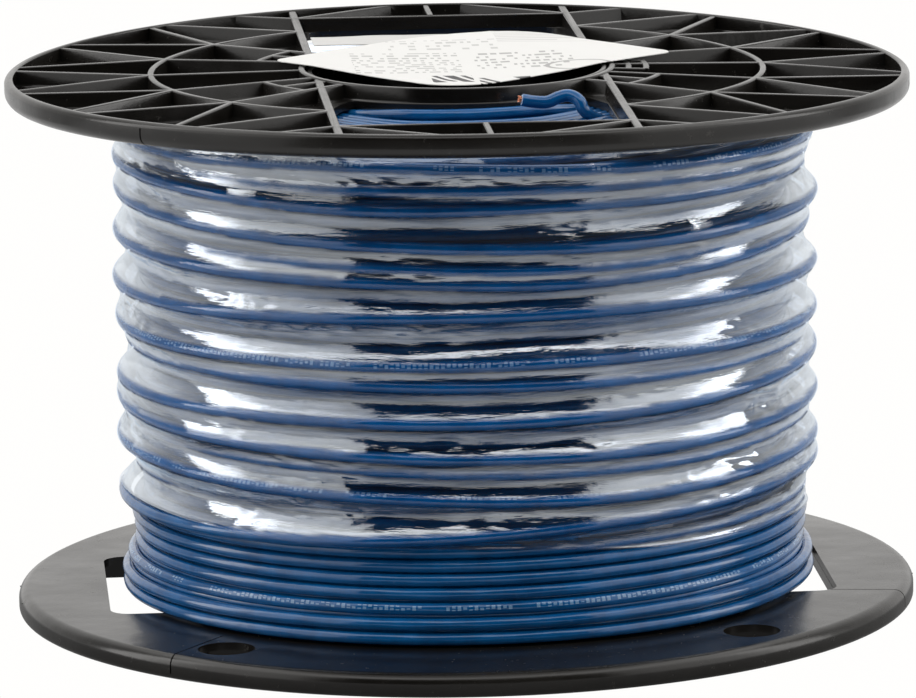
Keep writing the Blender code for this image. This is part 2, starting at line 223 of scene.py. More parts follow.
def node(tree, kind, inputs=None, **settings):
    """Adds a shader node. An input's value is a plain value or another node's output."""
    made = tree.nodes.new("ShaderNode" + kind)
    for key, value in settings.items():
        setattr(made, key, value)
    for key, value in (inputs or {}).items():
        if isinstance(value, bpy.types.NodeSocket):
            tree.links.new(value, made.inputs[key])
        else:
            made.inputs[key].default_value = value
    return made


def maths(tree, operation, a, b=0.0, clamp=False):
    return node(tree, "Math", {0: a, 1: b}, operation=operation, use_clamp=clamp).outputs[0]


def times(tree, a, b):
    return maths(tree, "MULTIPLY", a, b)


def plus(tree, a, b, clamp=False):
    return maths(tree, "ADD", a, b, clamp)


def blotches(tree, vector, scale, detail=3.0, roughness=0.5):
    inputs = {"Vector": vector, "Scale": scale, "Detail": detail, "Roughness": roughness}
    return node(tree, "TexNoise", inputs).outputs[0]


def stretched(tree, vector, scales):
    return node(tree, "Mapping", {"Vector": vector, "Scale": scales}).outputs[0]


def spread(tree, value, low, high, from_low=0.3, from_high=0.7):
    """Maps a value's middle range onto low..high, and clamps it there."""
    inputs = {"Value": value, "From Min": from_low, "From Max": from_high, "To Min": low, "To Max": high}
    return node(tree, "MapRange", inputs).outputs[0]


def tint(tree, share, first, second):
    """A colour between two others."""
    made = node(tree, "Mix", {0: share}, data_type="RGBA")
    for key, color in ((6, first), (7, second)):
        if isinstance(color, bpy.types.NodeSocket):
            tree.links.new(color, made.inputs[key])
        else:
            made.inputs[key].default_value = (*color, 1.0)
    return made.outputs[2]


def bump(tree, height, strength, distance, normal=None):
    inputs = {"Height": height, "Strength": strength, "Distance": distance}
    if normal is not None:
        inputs["Normal"] = normal
    return node(tree, "Bump", inputs).outputs[0]


def attribute(tree, name):
    return node(tree, "Attribute", attribute_name=name).outputs["Fac"]


def new_tree(name):
    """A new material, its node tree, its output node and the object coordinates."""
    made = bpy.data.materials.new(name)
    made.use_nodes = True
    tree = made.node_tree
    tree.nodes.clear()
    output = node(tree, "OutputMaterial")
    place = node(tree, "TexCoord").outputs["Object"]
    return made, tree, output, place


def principled(tree, output, inputs):
    shader = node(tree, "BsdfPrincipled", inputs)
    tree.links.new(shader.outputs[0], output.inputs["Surface"])


def black_plastic():
    """Satin black moulding with a warm cast, faint flow marks, dust and rubbed patches."""
    made, tree, output, place = new_tree("black_plastic")
    flow = blotches(tree, stretched(tree, place, (1.0, 1.0, 3.0)), 38.0, 4.0, 0.6)
    grain = blotches(tree, place, 900.0, 2.0)
    dust = spread(tree, blotches(tree, place, 420.0, 4.0, 0.7), 0.0, 1.0, 0.62, 0.78)
    base = tint(tree, spread(tree, flow, 0.0, 1.0), (0.0042, 0.0037, 0.0031), (0.0095, 0.0085, 0.0072))
    dusty = tint(tree, times(tree, dust, 0.16), base, (0.12, 0.112, 0.10))
    rough = plus(tree, spread(tree, flow, 0.17, 0.27), times(tree, dust, 0.15))
    waves = bump(tree, blotches(tree, place, 55.0, 2.0), 0.30, 0.0012)
    skin = bump(tree, grain, 0.12, 0.00012, waves)
    principled(tree, output, {"Base Color": dusty, "Roughness": rough, "Normal": skin, "IOR": 1.46})
    return made


PRINT_PITCH = 1.05
PRINT_HALF = 0.062


def wire_print(tree):
    """Share of light ink: a row of short broken strokes along the wire, where "ink" is near 0."""
    along = attribute(tree, "along")
    height = attribute(tree, "ink")
    place = maths(tree, "DIVIDE", along, PRINT_PITCH)
    cell = maths(tree, "FLOOR", place)
    inside = maths(tree, "FRACT", place)
    row = maths(tree, "FLOOR", maths(tree, "DIVIDE", height, PRINT_HALF * 0.5))
    seed = plus(tree, times(tree, cell, 7.0), row)
    dots = node(tree, "TexWhiteNoise", {"W": seed}, noise_dimensions="1D").outputs[0]
    word_seed = maths(tree, "FLOOR", maths(tree, "DIVIDE", cell, 4.0))
    word = node(tree, "TexWhiteNoise", {"W": word_seed}, noise_dimensions="1D").outputs[0]
    in_row = maths(tree, "LESS_THAN", maths(tree, "ABSOLUTE", height), PRINT_HALF)
    share = times(tree, maths(tree, "LESS_THAN", inside, 0.62), in_row)
    share = times(tree, share, maths(tree, "GREATER_THAN", dots, 0.35))
    return times(tree, share, maths(tree, "GREATER_THAN", word, 0.2))


def blue_nylon():
    """Glossy blue nylon jacket with the lay of the strands just showing, scuffs and light print."""
    made, tree, output, place = new_tree("blue_nylon")
    along = attribute(tree, "along")
    around = attribute(tree, "around")
    lay = plus(tree, times(tree, along, 0.42), times(tree, around, 37.7))
    strands = times(tree, maths(tree, "SINE", lay), 0.5)
    mottle = blotches(tree, place, 160.0, 4.0, 0.6)
    scuff = spread(tree, blotches(tree, place, 700.0, 5.0, 0.7), 0.0, 1.0, 0.6, 0.75)
    base = tint(tree, spread(tree, mottle, 0.0, 1.0), (0.001, 0.056, 0.178), (0.002, 0.098, 0.288))
    worn = tint(tree, times(tree, scuff, 0.18), base, (0.10, 0.19, 0.34))
    inked = tint(tree, times(tree, wire_print(tree), 0.5), worn, (0.26, 0.42, 0.60))
    rough = plus(tree, spread(tree, mottle, 0.08, 0.15), times(tree, scuff, 0.15))
    soft = bump(tree, blotches(tree, place, 150.0, 2.0), 0.25, 0.0008)
    skin = bump(tree, strands, 0.25, 0.00008, soft)
    principled(tree, output, {"Base Color": inked, "Roughness": rough, "Normal": skin, "IOR": 1.47,
                              "Coat Weight": 0.2, "Coat Roughness": 0.05})
    return made


def blue_insulation():
    """The paler insulation under the jacket, with a whitish cut face."""
    made, tree, output, place = new_tree("blue_insulation")
    mottle = blotches(tree, place, 1500.0, 3.0)
    base = tint(tree, spread(tree, mottle, 0.0, 1.0), (0.16, 0.30, 0.50), (0.50, 0.60, 0.72))
    skin = bump(tree, mottle, 0.4, 0.0001)
    rough = spread(tree, mottle, 0.4, 0.6)
    principled(tree, output, {"Base Color": base, "Roughness": rough, "Normal": skin})
    return made


def bare_copper():
    made, tree, output, place = new_tree("copper")
    streak = blotches(tree, place, 2500.0, 3.0)
    base = tint(tree, spread(tree, streak, 0.0, 1.0), (0.50, 0.17, 0.09), (0.86, 0.42, 0.27))
    skin = bump(tree, streak, 0.3, 0.00005)
    principled(tree, output, {"Base Color": base, "Metallic": 1.0, "Normal": skin,
                              "Roughness": spread(tree, streak, 0.25, 0.45)})
    return made


FILM_FACE_ON = 0.27
FILM_EDGE_ON = 1.04
FILM_CURVE = 2.3
FILM_WETTED = 0.08


def clear_film():
    """Several layers of stretch film: see-through face on, and mirror-like at a slant."""
    made, tree, output, place = new_tree("clear_film")
    round_fibre = stretched(tree, place, (1.0, 1.0, 9.0))
    streaks = blotches(tree, round_fibre, 75.0, 4.0, 0.6)
    fine = blotches(tree, round_fibre, 260.0, 2.0)
    waves = bump(tree, streaks, 0.15, 0.0012)
    skin = bump(tree, fine, 0.08, 0.0003, waves)
    slant = node(tree, "LayerWeight", {"Blend": 0.5, "Normal": skin}).outputs["Facing"]
    rise = times(tree, maths(tree, "POWER", slant, FILM_CURVE), FILM_EDGE_ON - FILM_FACE_ON)
    layers = spread(tree, blotches(tree, round_fibre, 26.0, 4.0, 0.6), -0.13, 0.11)
    share = plus(tree, plus(tree, rise, FILM_FACE_ON), layers, clamp=True)
    lifted = spread(tree, attribute(tree, "loose"), FILM_WETTED, 1.0, 0.0, 1.0)
    share = times(tree, share, lifted)
    rough = spread(tree, streaks, 0.03, 0.10)
    shine = node(tree, "BsdfGlossy", {"Color": (0.88, 0.94, 1.0, 1), "Roughness": rough, "Normal": skin})
    clear = node(tree, "BsdfTransparent", {"Color": (0.90, 0.93, 0.97, 1)})
    mixed = node(tree, "MixShader", {0: share, 1: clear.outputs[0], 2: shine.outputs[0]})
    tree.links.new(mixed.outputs[0], output.inputs["Surface"])
    return made


def film_back():
    """The film's inner side, which only tints what is behind it."""
    made, tree, output, place = new_tree("film_back")
    haze = blotches(tree, stretched(tree, place, (1.0, 1.0, 9.0)), 60.0)
    color = tint(tree, spread(tree, haze, 0.0, 1.0), (0.93, 0.95, 0.98), (0.99, 0.99, 1.0))
    clear = node(tree, "BsdfTransparent", {"Color": color})
    tree.links.new(clear.outputs[0], output.inputs["Surface"])
    return made


# Print on the label, in millimetres from its middle; "across" runs to +x and "deep" away from the front.
LABEL_BLOCKS = (
    # low corner, high corner, row pitch, stroke length, fill, darkness
    ((-24, -18), (-3, 6), 2.6, 0.7, 0.46, 0.42),
    ((-16, 8), (6, 20), 3.2, 0.7, 0.38, 0.32),
    ((0, -15), (19, 6), 3.4, 0.6, 0.46, 0.50),
    ((6, 16), (26, 30), 2.2, 9.0, 0.85, 0.22),
)
HEAVY_MARKS = (((-10, -31), (-2, -22)), ((-1, -36), (9, -25)))
OVAL_CENTRE = (19.5, -13.0)
OVAL_SIZE = (6.2, 5.2)
OVAL_LINE = 0.16
HEAVY_SLANT = 0.4


def box_share(tree, u, v, low, high):
    """1 inside a rectangle of the sheet's own coordinates, and 0 outside it."""
    share = maths(tree, "GREATER_THAN", u, low[0])
    for value, operation, limit in ((u, "LESS_THAN", high[0]), (v, "GREATER_THAN", low[1]),
                                    (v, "LESS_THAN", high[1])):
        share = times(tree, share, maths(tree, operation, value, limit))
    return share


def stroke_rows(tree, u, v, pitch, cell, fill):
    """Rows of short random strokes that stand for small print."""
    row = maths(tree, "FLOOR", maths(tree, "DIVIDE", v, pitch))
    inside = maths(tree, "FRACT", maths(tree, "DIVIDE", v, pitch))
    column = maths(tree, "FLOOR", maths(tree, "DIVIDE", u, cell))
    seed = plus(tree, times(tree, row, 57.0), column)
    dice = node(tree, "TexWhiteNoise", {"W": seed}, noise_dimensions="1D").outputs[0]
    share = maths(tree, "LESS_THAN", inside, 0.5)
    return times(tree, share, maths(tree, "LESS_THAN", dice, fill))


def turned_axes(tree, u, v, degrees):
    """The coordinates u and v turned by an angle, so that the print runs level across the front."""
    turn = math.radians(degrees)
    shares = ((u, math.cos(turn)), (v, -math.sin(turn))), ((u, math.sin(turn)), (v, math.cos(turn)))
    axes = []
    for axis in shares:
        parts = [times(tree, value, share) for value, share in axis]
        axes.append(plus(tree, *parts))
    return axes


def oval_ring(tree, across, deep):
    """1 on the outline of the printed oval."""
    parts = []
    for value, centre, size in zip((across, deep), OVAL_CENTRE, OVAL_SIZE):
        share = maths(tree, "DIVIDE", maths(tree, "SUBTRACT", value, centre), size)
        parts.append(maths(tree, "POWER", maths(tree, "ABSOLUTE", share), 2.0))
    off_line = maths(tree, "SUBTRACT", plus(tree, *parts), 1.0)
    return maths(tree, "LESS_THAN", maths(tree, "ABSOLUTE", off_line), OVAL_LINE)


def label_print(tree):
    """Share of black on the label: blocks of small strokes, a row of heavy slanted marks and an oval."""
    across, deep = turned_axes(tree, attribute(tree, "u"), attribute(tree, "v"), LABEL_TURN)
    ink = 0.0
    for low, high, pitch, cell, fill, share in LABEL_BLOCKS:
        rows = stroke_rows(tree, across, deep, pitch, cell, fill)
        block = times(tree, rows, box_share(tree, across, deep, low, high))
        ink = maths(tree, "MAXIMUM", ink, times(tree, block, share))
    slanted = plus(tree, across, times(tree, deep, HEAVY_SLANT))
    one_row = plus(tree, deep, 400.0)
    heavy = stroke_rows(tree, slanted, one_row, 800.0, 1.1, 0.45)
    for low, high in HEAVY_MARKS:
        marks = times(tree, heavy, box_share(tree, across, deep, low, high))
        ink = maths(tree, "MAXIMUM", ink, marks)
    return maths(tree, "MAXIMUM", ink, times(tree, oval_ring(tree, across, deep), 0.55))


def white_paper(name, whiteness, printed):
    """Label paper with faint fibres; the printed one carries rows of strokes and marks, no lettering."""
    made, tree, output, place = new_tree(name)
    fibre = blotches(tree, place, 700.0, 5.0, 0.65)
    shade = spread(tree, fibre, whiteness - 0.04, whiteness)
    warm_shade = times(tree, shade, 0.985)
    base = node(tree, "CombineColor", {0: shade, 1: shade, 2: warm_shade}).outputs[0]
    if printed:
        base = tint(tree, label_print(tree), base, (0.012, 0.012, 0.014))
    skin = bump(tree, fibre, 0.15, 0.0002)
    rough = spread(tree, fibre, 0.42, 0.6)
    principled(tree, output, {"Base Color": base, "Roughness": rough, "Normal": skin})
    return made


# ---------------------------------------------------------------- flanges and barrel

def prism(outline, bottom, top):
    """An upright prism on a counter-clockwise outline of (x, y) points."""
    shape = bmesh.new()
    low = [shape.verts.new((p[0], p[1], bottom)) for p in outline]
    high = [shape.verts.new((p[0], p[1], top)) for p in outline]
    shape.faces.new(reversed(low))
    shape.faces.new(high)
    for k in range(len(low)):
        after = (k + 1) % len(low)
        shape.faces.new((low[k], low[after], high[after], high[k]))
    return shape


def rib_section(width):
    """Half-open outline of a rib as (offset, height): drafted sides and rounded top edges."""
    round_r = 0.28
    foot = width / 2 + 0.16
    fillet = [(foot + 0.35, FLOOR_T - 0.3), (foot + 0.12, FLOOR_T + 0.06), (foot - 0.02, FLOOR_T + 0.4)]
    right = fillet + arc((width / 2 - round_r, RIB_TOP - round_r), round_r, 0, 90, 3)
    return right + [(-x, z) for x, z in reversed(right)]


def rib_along(path, width=RIB_W):
    """A rib swept along (x, y) points, with upright ends."""
    shape = bmesh.new()
    section = rib_section(width)
    rings = []
    for k, point in enumerate(path):
        along = (path[min(k + 1, len(path) - 1)] - path[max(k - 1, 0)]).normalized()
        side = Vector((along.y, -along.x))
        rings.append([shape.verts.new((*(point + side * x), z)) for x, z in section])
    for low, high in zip(rings, rings[1:]):
        for k in range(len(section)):
            after = (k + 1) % len(section)
            shape.faces.new((low[k], high[k], high[after], low[after]))
    shape.faces.new(rings[0])
    shape.faces.new(reversed(rings[-1]))
    bmesh.ops.recalc_face_normals(shape, faces=shape.faces)
    return shape


def arc_rib(radius, first, last, step_deg=3):
    steps = max(2, round(abs(last - first) / step_deg))
    return rib_along([polar(radius, first + (last - first) * k / steps) for k in range(steps + 1)])


def fan_ribs(side):
    """The spokes, ring nodes and rim fans on one side of the flange; side is 0 or 180 degrees."""
    ring_end = math.degrees(math.acos(LONG_RIB_X / MID_RING_R))
    ribs = [arc_rib(MID_RING_R, side - ring_end, side + ring_end)]
    for angle in SPOKE_ANGLES:
        ring_node = polar(MID_RING_R, side + angle)
        ribs.append(rib_along([polar(HUB_END_R, side + angle), ring_node]))
        for turn in (-1, 1):
            ribs.append(rib_along([ring_node, polar(RIM_END_R, side + angle + FAN_HALF_DEG * turn)]))
    for turn in (-1, 1):
        corner = polar(MID_RING_R, side + turn * ring_end)
        near, far = (side + turn * angle for angle in SPOKE_ANGLES[3:])
        half_way = (near + far) / 2
        ribs.append(rib_along([corner, polar(RIM_END_R, side + turn * CORNER_RIB_DEG)]))
        ribs.append(rib_along([polar(HUB_END_R, half_way), polar(INNER_RING_R, half_way)]))
        ribs.append(arc_rib(INNER_RING_R, min(near, far), max(near, far)))
    return ribs


def window_frame_ribs(up):
    """The ribs between the long ribs, beyond one window; up is 1 or -1."""
    corners = [Vector((turn * LONG_RIB_X, up * CHORD_Y)) for turn in (-1, 1)]
    ribs = [rib_along(corners)]
    ribs.append(rib_along([Vector((0, up * CHORD_Y)), polar(RIM_END_R, up * 90)]))
    for turn, corner in zip((-1, 1), corners):
        for lean in CHORD_RIB_LEANS:
            ribs.append(rib_along([corner, polar(RIM_END_R, up * (90 - turn * lean))]))
    return ribs


def flange_ribs():
    """Every rib of a flange, with the small boxed cells beside the hub ring."""
    rim_y = math.sqrt(RIM_END_R**2 - LONG_RIB_X**2)
    ribs = fan_ribs(0) + fan_ribs(180)
    ribs += [arc_rib(radius, *CELL_ANGLES) for radius in CELL_RADII]
    ribs += [rib_along([polar(HUB_END_R, angle), polar(CELL_RADII[1], angle)]) for angle in CELL_ANGLES]
    for up in (-1, 1):
        ribs += window_frame_ribs(up)
        for turn in (-1, 1):
            ends = [Vector((turn * LONG_RIB_X, up * y)) for y in (LONG_RIB_START_Y, rim_y)]
            ribs.append(rib_along(ends, LONG_RIB_W))
    return ribs


def window_outline():
    """One window on +y: straight sides, rounded outer corners and an inner edge along the hub ring."""
    outer_y = CHORD_Y - RIB_W / 2 - 0.1
    right = [tuple(polar(WINDOW_FOOT_R, angle)) for angle in WINDOW_FOOT_ANGLES]
    right += reversed(WINDOW_WEB)
    right += arc((WINDOW_X - WINDOW_CORNER_R, outer_y - WINDOW_CORNER_R), WINDOW_CORNER_R, 0, 90, 6)
    return right + [(-x, y) for x, y in reversed(right)]


def flange_cutters():
    """Windows, drive holes and the slits that catch the wire's outer end."""
    window = [Vector(p) for p in window_outline()]
    window_top = FLOOR_T + 0.15
    cutters = [prism(window, -CUT_SPARE, window_top), prism([-p for p in window], -CUT_SPARE, window_top)]
    for angle in HOLE_ANGLES:
        outline = arc(polar(HOLE_PITCH_R, angle), HOLE_R, 0, 352.5, 47)
        cutters.append(prism(outline, -CUT_SPARE, FLANGE_T + CUT_SPARE))
    for angle in SLIT_ANGLES:
        start = polar(SLIT_INNER_R, angle + SLIT_SLANT)
        end = polar(FLANGE_R + CUT_SPARE, angle)
        side = Vector((start.y - end.y, end.x - start.x)).normalized() * SLIT_W / 2
        outline = [start - side, end - side, end + side, start + side]
        cutters.append(prism(outline, -CUT_SPARE, FLANGE_T - SLIT_CAP))
    return cutters


def flange_profile():
    """Closed (r, z) outline: inner face, full rounded rim, lip, floor and hub ring, all with radii."""
    hub_inner = BORE_R + SPIGOT_WALL + GAP
    lip_r = FLANGE_R - LIP_W
    top = FLANGE_T
    points = [(hub_inner, 0.0), (0.5 * FLANGE_R, 0.0)]
    points += arc((FLANGE_R - INNER_EDGE_R, INNER_EDGE_R), INNER_EDGE_R, -90, 0, 9)
    points += arc((FLANGE_R - 1.0, top - 1.0), 1.0, 0, 90, 7)
    points += arc((lip_r + 0.35, top - 0.35), 0.35, 90, 180, 4)
    points += arc((lip_r - 0.55, FLOOR_T + 0.5), 0.5, 0, -90, 4)
    points += arc((HUB_RING_R + 0.55, FLOOR_T + 0.5), 0.5, 270, 180, 4)
    points += arc((HUB_RING_R - 0.3, top - 0.3), 0.3, 0, 90, 3)
    points += arc((hub_inner + 0.4, top - 0.4), 0.4, 90, 180, 3)
    return points


def helper_group(name, shapes):
    """A collection of solids that only serve a Boolean."""
    group = bpy.data.collections.new(name)
    for shape in shapes:
        helper = shape_object(name, shape, [])
        bpy.context.scene.collection.objects.unlink(helper)
        group.objects.link(helper)
    return group


def flange_mesh(finish):
    """One flange's mesh, fused from its disc and ribs and then pierced."""
    blank = mesh_object("flange_blank", *lathe_grid(flange_profile(), RIM_SEGMENTS), [finish])
    groups = {
        "UNION": helper_group("ribs", flange_ribs()),
        "DIFFERENCE": helper_group("cuts", flange_cutters()),
    }
    for operation, group in groups.items():
        step = blank.modifiers.new(group.name, "BOOLEAN")
        step.operation = operation
        step.solver = "MANIFOLD"
        step.operand_type = "COLLECTION"
        step.collection = group
    graph = bpy.context.evaluated_depsgraph_get()
    mesh = bpy.data.meshes.new_from_object(blank.evaluated_get(graph))
    mesh.set_sharp_from_angle(angle=math.radians(32))
    for group in groups.values():
        for helper in list(group.objects):
            bpy.data.objects.remove(helper)
        bpy.data.collections.remove(group)
    bpy.data.objects.remove(blank)
    return mesh


def make_flanges(finish):
    """The same moulding twice. The lower one is turned over and its windows face +-x, and the upper
    one leans and sags a little on the barrel."""
    mesh = flange_mesh(finish)
    over = Matrix.Rotation(math.radians(90), 4, "Z") @ Matrix.Rotation(math.pi, 4, "X")
    places = {
        "upper_flange": Matrix.Translation((0, 0, WOUND_HIGH * MM)),
        "lower_flange": Matrix.Translation((0, 0, WOUND_LOW * MM)) @ over,
    }
    for name, place in places.items():
        own = mesh.copy()
        own.transform(place)
        if name == "upper_flange":
            for corner in own.vertices:
                corner.co.z -= settle(corner.co.x / MM) * MM
        flange = bpy.data.objects.new(name + "_moulding", own)
        bpy.context.scene.collection.objects.link(flange)
        place_piece(flange, "spool", name)


def make_barrel(finish):
    """A tube whose thicker middle spaces the flanges, with rounded spigot ends."""
    low, high = node_box("barrel_tube")
    spigot_r = BORE_R + SPIGOT_WALL
    shoulder = FLANGE_T + GAP
    edge = 0.4
    profile = arc((BORE_R + edge, low[2] + edge), edge, 180, 270, 3)
    profile += arc((spigot_r - edge, low[2] + edge), edge, -90, 0, 3)
    profile += [(spigot_r, shoulder), (HUB_RING_R, shoulder)]
    profile += [(HUB_RING_R, SPOOL_H - shoulder), (spigot_r, SPOOL_H - shoulder)]
    profile += arc((spigot_r - edge, high[2] - edge), edge, 0, 90, 3)
    profile += arc((BORE_R + edge, high[2] - edge), edge, 90, 180, 3)
    barrel = mesh_object("barrel_moulding", *lathe_grid(profile, 144), [finish])
    place_piece(barrel, "spool", "barrel_tube")


# ---------------------------------------------------------------- winding

COLUMNS = 600
STEP_DEG = 360 / COLUMNS
OUTER_TURN_R = 66.2
CROSSING_R = 62.6
UNDER_R = 61.6
PACKED_R = 60.2
CLOSE_PLAY = 1.2
TUBE_STRIDE = 4
TUBE_SIDES = 14
INK_DRIFT = 0.45
INK_LOW = 0.04

CLOSE_HEIGHTS = (6.15, 9.05, 11.95, 14.75, 17.45, 20.1, 22.7)
OUTER_HEIGHTS = (
    # left, left of the middle, right of the middle, right; from the top turn down
    (94.6, 96.0, 94.4, 93.0),
    (92.0, 91.5, 91.2, 90.3),
    (89.4, 87.8, 87.9, 87.0),
    (83.0, 81.2, 79.9, 80.6),
    (77.7, 76.9, 76.0, 77.9),
    (74.8, 74.2, 73.3, 75.2),
    (65.9, 67.4, 67.7, 67.4),
    (58.2, 58.4, 58.4, 58.0),
    (54.6, 54.6, 54.2, 53.6),
    (47.0, 47.5, 47.9, 49.8),
    (42.2, 41.2, 40.4, 41.6),
    (39.3, 38.5, 37.2, 38.4),
    (34.5, 33.2, 32.1, 33.2),
    (23.6, 25.1, 27.3, 28.9),
)
HEIGHT_ANGLES = (-155, -110, -70, -25)
SUNK_TURNS = {
    # turn: how far in it lies at the left and at the right
    0: (1.6, 0.4),
    1: (1.9, 1.7),
    2: (0.0, 2.1),
    4: (1.8, 1.9),
    5: (0.2, 1.2),
    8: (1.7, 1.9),
    11: (1.6, 1.8),
}
MIDDLE_SINK = 0.35
TUCK_DEG = 40
TUCK_DEPTH = 4.5


def wobble(values, seed, size):
    """Smooth noise of about +-size at each value; one period is one unit."""
    return size * 1.6 * np.array([noise.noise(Vector((value, seed, 0.37))) for value in values])


def right_bulge(angle):
    """Share of the way to the looser side of the winding, which faces +x."""
    return np.clip(0.5 + 0.75 * np.cos(np.radians(angle + 5)), 0, 1) ** 2


def coil(angle, radius, height):
    """Path of a wire from its angle in degrees, radius and height."""
    turn = np.radians(angle)
    return np.stack([radius * np.cos(turn), radius * np.sin(turn), height], axis=1)


def angles_from(first, last):
    """Angles from first to last on the columns that the film is worked out on."""
    return np.arange(round(first / STEP_DEG), round(last / STEP_DEG) + 1) * STEP_DEG


def smooth_heights(marks, angle):
    """Heights of a wire that passes through (angle, height) marks without corners."""
    at, z = np.array(marks).T
    slope = np.gradient(z, at)
    k = np.clip(np.searchsorted(at, angle) - 1, 0, len(at) - 2)
    span = at[k + 1] - at[k]
    t = np.clip((angle - at[k]) / span, 0, 1)
    rise = z[k + 1] - z[k]
    bend = t * (1 - t) * ((1 - t) * (slope[k] * span - rise) - t * (slope[k + 1] * span - rise))
    return z[k] + rise * t + bend


def turn_marks(rows, step):
    """(angle, height) marks of stacked turns; step is how far one turn is from the next in degrees."""
    return [(at + step * k, z) for k, row in enumerate(rows) for at, z in zip(HEIGHT_ANGLES, row)]


def sink_rows():
    """How far in each outer turn lies, at the same four places as its heights."""
    rows = []
    for turn in range(len(OUTER_HEIGHTS)):
        left, right = SUNK_TURNS.get(turn, (0.0, 0.0))
        rows.append((left, MIDDLE_SINK * left, MIDDLE_SINK * right, right))
    return rows


def close_coil():
    """The close turns at the bottom, which the film leaves bare."""
    marks = [(-90 + 360 * k, z) for k, z in enumerate(CLOSE_HEIGHTS)]
    angle = angles_from(marks[0][0] - 150, marks[-1][0] + 165)
    before = (marks[0][0] - 360, WOUND_LOW + WIRE_R)
    after = (marks[-1][0] + 360, 25.0)
    height = smooth_heights([before, *marks, after], angle)
    height = height + wobble(angle / 95, 3.1, 0.13)
    height = np.maximum(height, WOUND_LOW + WIRE_R + 0.05)
    turn = (angle - angle[0]) / 360
    low_share = np.clip(2.6 - turn, 0, 1)
    left_bulge = np.clip(np.cos(np.radians(angle + 165)), 0, 1) ** 2
    spread_out = (1.2 + 1.6 * low_share) * right_bulge(angle) + (2.6 * low_share - 0.6) * left_bulge
    radius = CLOSE_OUTER_R - WIRE_R - CLOSE_PLAY + spread_out + wobble(angle / 60, 8.3, 0.35)
    return coil(angle, tucked(angle, radius), height)


def tucked(angle, radius):
    """Radius of a wire whose two ends dive under its neighbours."""
    near_end = np.minimum(angle - angle[0], angle[-1] - angle)
    dive = np.clip(1 - near_end / TUCK_DEG, 0, 1)
    return radius - TUCK_DEPTH * dive * dive * (3 - 2 * dive)


def behind_coil(path):
    """The turns behind the close ones, which lie in the hollows between them."""
    radius = np.hypot(path[:, 0], path[:, 1])
    share = (radius - 1.9) / radius
    return path * np.stack([share, share, np.ones(len(path))], axis=1) + (0, 0, 1.4)


def outer_coil():
    """The coarse outer turns that lift the film into ridges."""
    marks = turn_marks(OUTER_HEIGHTS, 360)
    angle = angles_from(marks[0][0] - 90, marks[-1][0] + 95)
    height = smooth_heights([(marks[0][0] - 120, 97.5), *marks, (marks[-1][0] + 120, 24.0)], angle)
    height = height + wobble(angle / 40, 5.7, 0.12)
    sunk = np.maximum(smooth_heights(turn_marks(sink_rows(), 360), angle), 0)
    radius = OUTER_TURN_R + 1.9 * right_bulge(angle) + wobble(angle / 45, 1.9, 0.45) - sunk
    return coil(angle, tucked(angle, radius), height)


def crossing_coil():
    """The layer below, which climbs the other way."""
    turns = 12.0
    angle = angles_from(30, 30 + 360 * turns)
    share = (angle - angle[0]) / (angle[-1] - angle[0])
    height = 27.0 + (96.0 - 27.0) * share + wobble(angle / 130, 2.2, 0.9)
    radius = CROSSING_R + 0.9 * right_bulge(angle) + wobble(angle / 60, 6.4, 0.3)
    return coil(angle, radius, height)


def under_coil():
    """The last packed layer, whose turns lie side by side."""
    pitch = 2.75
    turns = math.floor((WOUND_HIGH - WOUND_LOW - WIRE_D - 1.0) / pitch)
    angle = angles_from(0, 360 * turns)
    height = WOUND_LOW + WIRE_R + 0.3 + pitch * angle / 360 + wobble(angle / 110, 4.5, 0.12)
    radius = UNDER_R + 0.8 * right_bulge(angle) + wobble(angle / 90, 7.7, 0.12)
    return coil(angle, radius, height)


def end_coil():
    """The flat spiral under the upper flange; its first turns ride up into the windows."""
    first_r = HUB_RING_R + WIRE_R + 0.1
    last_r = 60.5
    pitch = 2.7
    start = -158
    angle = angles_from(start, start + 360 * (last_r - first_r) / pitch)
    turn = (angle - start) / 360
    radius = first_r + pitch * turn + wobble(angle / 70, 9.1, 0.12)
    inside = np.clip((WINDOW_X + 1.0 - np.abs(radius * np.cos(np.radians(angle)))) / 16.0, 0, 1)
    inside = inside * inside * (3 - 2 * inside)
    lift = np.where(turn < 1, 1.15, -0.55 - 0.12 * np.minimum(turn, 4))
    flat = WOUND_HIGH - WIRE_R - 0.2
    height = flat + inside * lift + wobble(angle / 45, 3.3, 0.10) * inside
    return coil(angle, radius, height)


def ink_drift(path, printed):
    """How far round the wire its print has wandered: it faces outwards on the printed turns only."""
    turn = np.unwrap(np.arctan2(path[:, 1], path[:, 0])) / (2 * math.pi)
    turn = np.abs(turn - turn[0])
    away = np.min([np.abs(turn - at) for at in printed], axis=0) if printed else np.full(len(path), 9.0)
    return INK_DRIFT * away + INK_LOW


